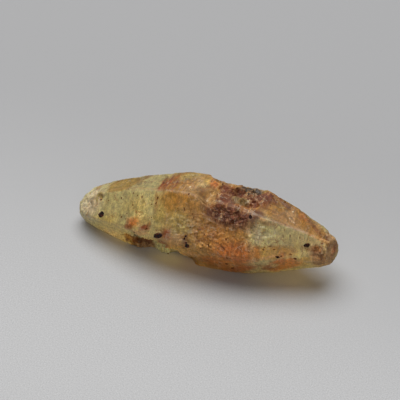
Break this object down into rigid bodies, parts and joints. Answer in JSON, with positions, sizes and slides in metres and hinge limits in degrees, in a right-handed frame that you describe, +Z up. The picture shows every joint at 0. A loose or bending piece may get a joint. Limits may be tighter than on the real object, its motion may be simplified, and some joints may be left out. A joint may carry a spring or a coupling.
{
  "type": "sapphire crystal",
  "caption": "Doubly ended, six-sided sapphire spindle lying on a small flat, with worn ridges, a crusted pit on top and a ragged break along its lower left side.",
  "frame": {"origin": "middle of the crystal's box, at the height of the face it rests on", "axes": "+X along the crystal's long axis to the sharper end, +Y to the back, +Z up"},
  "size_m": [0.0266, 0.009, 0.0079],
  "materials": {
    "crystal": "see-through yellow-green to caramel corundum, frosted at the ends, with orange and maroon iron staining"
  },
  "bodies": {
    "root": {"crystal": "crystal"}
  },
  "joints": []
}
